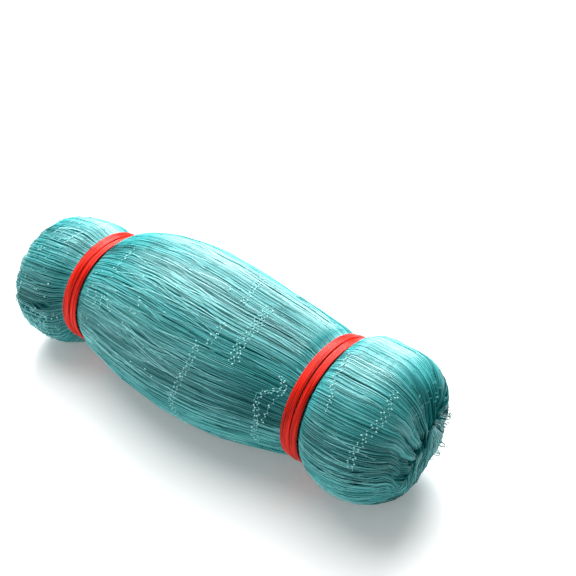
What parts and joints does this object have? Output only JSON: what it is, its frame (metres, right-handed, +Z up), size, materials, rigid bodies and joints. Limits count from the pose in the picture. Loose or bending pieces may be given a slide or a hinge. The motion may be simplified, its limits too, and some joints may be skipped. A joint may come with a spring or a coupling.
{
  "type": "fishing net hank",
  "caption": "Hank of fine nylon fishing net lying on its side: a fat barrel, a tied neck and bulb at each end, and a puckered mouth at one end",
  "frame": {"origin": "on the surface that the hank rests on, under the middle of its box", "axes": "+X along the hank to the end with the puckered mouth, +Y across it, +Z up"},
  "size_m": [0.4233, 0.1468, 0.1402],
  "materials": {
    "netting": "glossy fine nylon filament, in bundled strands",
    "tie_twine": "glossy flat plastic twine"
  },
  "bodies": {
    "root": {"net_hank": "netting", "tie_near": "tie_twine", "tie_far": "tie_twine"}
  },
  "joints": []
}
